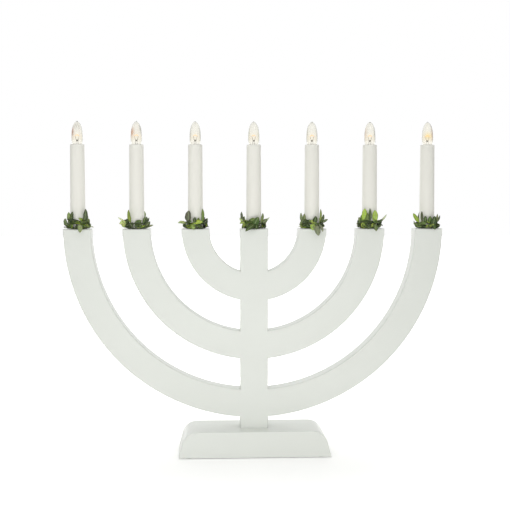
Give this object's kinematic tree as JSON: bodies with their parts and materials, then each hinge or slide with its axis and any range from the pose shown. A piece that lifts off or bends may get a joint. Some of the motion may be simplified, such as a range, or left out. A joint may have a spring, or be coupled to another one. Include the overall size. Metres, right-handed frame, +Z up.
{
  "type": "electric candelabra menorah",
  "caption": "White electric menorah candelabra: nested half-ring arms and a stem on a block base, carrying candle sleeves with clear pointed bulbs and small leaf rings.",
  "frame": {"origin": "centre of the base, on the table that the foot pads stand on", "axes": "+Z up, -Y towards the viewer in front, +X to the viewer's right along the row of lamps"},
  "size_m": [0.453, 0.0758, 0.3993],
  "materials": {
    "white_lacquer": "satin white lacquer on board",
    "cover_board": "matte",
    "zinc_steel": "zinc plated",
    "felt": "felt",
    "gland_rubber": "matte white",
    "block_plastic": "semi-gloss",
    "beech": "raw beech",
    "wire_insulation": "white insulation",
    "holder_plastic": "matte white",
    "socket_brass": "plain brass",
    "sleeve_plastic": "satin off-white",
    "leaf_plastic": "satin leaf green",
    "bulb_glass": "clear",
    "cap_brass": "rolled brass",
    "insulator": "black, with a tin button"
  },
  "bodies": {
    "stand": {"base": "white_lacquer", "base_cover_plate": "cover_board", "cover_screws": "zinc_steel", "foot_pads": "felt", "cord_gland": "gland_rubber", "terminal_block": "block_plastic", "stem": "white_lacquer", "arm_left_inner": "white_lacquer", "arm_left_middle": "white_lacquer", "arm_left_outer": "white_lacquer", "arm_right_inner": "white_lacquer", "arm_right_middle": "white_lacquer", "arm_right_outer": "white_lacquer", "arm_dowels": "beech", "stem_screws": "zinc_steel", "channel_cover_left": "white_lacquer", "channel_cover_right": "white_lacquer", "channel_cover_stem": "white_lacquer", "wiring_left": "wire_insulation", "wiring_right": "wire_insulation", "lamp_holders": "holder_plastic", "socket_shells": "socket_brass", "socket_centre_contacts": "socket_brass"},
    "sleeve_1": {"candle_sleeve_1": "sleeve_plastic"},
    "wreath_1": {"leaf_ring_1": "leaf_plastic"},
    "bulb_foot_1": {"bulb_contact_1": "insulator"},
    "bulb_1": {"bulb_glass_1": "bulb_glass", "bulb_cap_1": "cap_brass"},
    "sleeve_2": {"candle_sleeve_2": "sleeve_plastic"},
    "wreath_2": {"leaf_ring_2": "leaf_plastic"},
    "bulb_foot_2": {"bulb_contact_2": "insulator"},
    "bulb_2": {"bulb_glass_2": "bulb_glass", "bulb_cap_2": "cap_brass"},
    "sleeve_3": {"candle_sleeve_3": "sleeve_plastic"},
    "wreath_3": {"leaf_ring_3": "leaf_plastic"},
    "bulb_foot_3": {"bulb_contact_3": "insulator"},
    "bulb_3": {"bulb_glass_3": "bulb_glass", "bulb_cap_3": "cap_brass"},
    "sleeve_4": {"candle_sleeve_4": "sleeve_plastic"},
    "wreath_4": {"leaf_ring_4": "leaf_plastic"},
    "bulb_foot_4": {"bulb_contact_4": "insulator"},
    "bulb_4": {"bulb_glass_4": "bulb_glass", "bulb_cap_4": "cap_brass"},
    "sleeve_5": {"candle_sleeve_5": "sleeve_plastic"},
    "wreath_5": {"leaf_ring_5": "leaf_plastic"},
    "bulb_foot_5": {"bulb_contact_5": "insulator"},
    "bulb_5": {"bulb_glass_5": "bulb_glass", "bulb_cap_5": "cap_brass"},
    "sleeve_6": {"candle_sleeve_6": "sleeve_plastic"},
    "wreath_6": {"leaf_ring_6": "leaf_plastic"},
    "bulb_foot_6": {"bulb_contact_6": "insulator"},
    "bulb_6": {"bulb_glass_6": "bulb_glass", "bulb_cap_6": "cap_brass"},
    "sleeve_7": {"candle_sleeve_7": "sleeve_plastic"},
    "wreath_7": {"leaf_ring_7": "leaf_plastic"},
    "bulb_foot_7": {"bulb_contact_7": "insulator"},
    "bulb_7": {"bulb_glass_7": "bulb_glass", "bulb_cap_7": "cap_brass"}
  },
  "joints": [
    {"name": "bulb_1_rise", "type": "slide", "parent": "stand", "child": "bulb_foot_1", "axis": [0, 0, 1], "range_m": [0, 0.0091]},
    {"name": "bulb_1_turn", "type": "hinge", "parent": "bulb_foot_1", "child": "bulb_1", "pos_m": [-0.21, 0, 0.36], "axis": [0, 0, 1], "range_deg": [0, 1800]},
    {"name": "sleeve_1_lift", "type": "slide", "parent": "stand", "child": "sleeve_1", "axis": [0, 0, 1], "range_m": [0, 0.135]},
    {"name": "leaf_ring_1_lift", "type": "slide", "parent": "stand", "child": "wreath_1", "axis": [0, 0, 1], "range_m": [0, 0.145]},
    {"name": "bulb_2_rise", "type": "slide", "parent": "stand", "child": "bulb_foot_2", "axis": [0, 0, 1], "range_m": [0, 0.0091]},
    {"name": "bulb_2_turn", "type": "hinge", "parent": "bulb_foot_2", "child": "bulb_2", "pos_m": [-0.14, 0, 0.36], "axis": [0, 0, 1], "range_deg": [0, 1800]},
    {"name": "sleeve_2_lift", "type": "slide", "parent": "stand", "child": "sleeve_2", "axis": [0, 0, 1], "range_m": [0, 0.135]},
    {"name": "leaf_ring_2_lift", "type": "slide", "parent": "stand", "child": "wreath_2", "axis": [0, 0, 1], "range_m": [0, 0.145]},
    {"name": "bulb_3_rise", "type": "slide", "parent": "stand", "child": "bulb_foot_3", "axis": [0, 0, 1], "range_m": [0, 0.0091]},
    {"name": "bulb_3_turn", "type": "hinge", "parent": "bulb_foot_3", "child": "bulb_3", "pos_m": [-0.07, 0, 0.36], "axis": [0, 0, 1], "range_deg": [0, 1800]},
    {"name": "sleeve_3_lift", "type": "slide", "parent": "stand", "child": "sleeve_3", "axis": [0, 0, 1], "range_m": [0, 0.135]},
    {"name": "leaf_ring_3_lift", "type": "slide", "parent": "stand", "child": "wreath_3", "axis": [0, 0, 1], "range_m": [0, 0.145]},
    {"name": "bulb_4_rise", "type": "slide", "parent": "stand", "child": "bulb_foot_4", "axis": [0, 0, 1], "range_m": [0, 0.0091]},
    {"name": "bulb_4_turn", "type": "hinge", "parent": "bulb_foot_4", "child": "bulb_4", "pos_m": [0, 0, 0.36], "axis": [0, 0, 1], "range_deg": [0, 1800]},
    {"name": "sleeve_4_lift", "type": "slide", "parent": "stand", "child": "sleeve_4", "axis": [0, 0, 1], "range_m": [0, 0.135]},
    {"name": "leaf_ring_4_lift", "type": "slide", "parent": "stand", "child": "wreath_4", "axis": [0, 0, 1], "range_m": [0, 0.145]},
    {"name": "bulb_5_rise", "type": "slide", "parent": "stand", "child": "bulb_foot_5", "axis": [0, 0, 1], "range_m": [0, 0.0091]},
    {"name": "bulb_5_turn", "type": "hinge", "parent": "bulb_foot_5", "child": "bulb_5", "pos_m": [0.07, 0, 0.36], "axis": [0, 0, 1], "range_deg": [0, 1800]},
    {"name": "sleeve_5_lift", "type": "slide", "parent": "stand", "child": "sleeve_5", "axis": [0, 0, 1], "range_m": [0, 0.135]},
    {"name": "leaf_ring_5_lift", "type": "slide", "parent": "stand", "child": "wreath_5", "axis": [0, 0, 1], "range_m": [0, 0.145]},
    {"name": "bulb_6_rise", "type": "slide", "parent": "stand", "child": "bulb_foot_6", "axis": [0, 0, 1], "range_m": [0, 0.0091]},
    {"name": "bulb_6_turn", "type": "hinge", "parent": "bulb_foot_6", "child": "bulb_6", "pos_m": [0.14, 0, 0.36], "axis": [0, 0, 1], "range_deg": [0, 1800]},
    {"name": "sleeve_6_lift", "type": "slide", "parent": "stand", "child": "sleeve_6", "axis": [0, 0, 1], "range_m": [0, 0.135]},
    {"name": "leaf_ring_6_lift", "type": "slide", "parent": "stand", "child": "wreath_6", "axis": [0, 0, 1], "range_m": [0, 0.145]},
    {"name": "bulb_7_rise", "type": "slide", "parent": "stand", "child": "bulb_foot_7", "axis": [0, 0, 1], "range_m": [0, 0.0091]},
    {"name": "bulb_7_turn", "type": "hinge", "parent": "bulb_foot_7", "child": "bulb_7", "pos_m": [0.21, 0, 0.36], "axis": [0, 0, 1], "range_deg": [0, 1800]},
    {"name": "sleeve_7_lift", "type": "slide", "parent": "stand", "child": "sleeve_7", "axis": [0, 0, 1], "range_m": [0, 0.135]},
    {"name": "leaf_ring_7_lift", "type": "slide", "parent": "stand", "child": "wreath_7", "axis": [0, 0, 1], "range_m": [0, 0.145]}
  ],
  "couplings": [
    {"joint": "bulb_1_rise", "follows": "bulb_1_turn", "m_per_rad": 0.00028871},
    {"joint": "bulb_2_rise", "follows": "bulb_2_turn", "m_per_rad": 0.00028871},
    {"joint": "bulb_3_rise", "follows": "bulb_3_turn", "m_per_rad": 0.00028871},
    {"joint": "bulb_4_rise", "follows": "bulb_4_turn", "m_per_rad": 0.00028871},
    {"joint": "bulb_5_rise", "follows": "bulb_5_turn", "m_per_rad": 0.00028871},
    {"joint": "bulb_6_rise", "follows": "bulb_6_turn", "m_per_rad": 0.00028871},
    {"joint": "bulb_7_rise", "follows": "bulb_7_turn", "m_per_rad": 0.00028871}
  ]
}
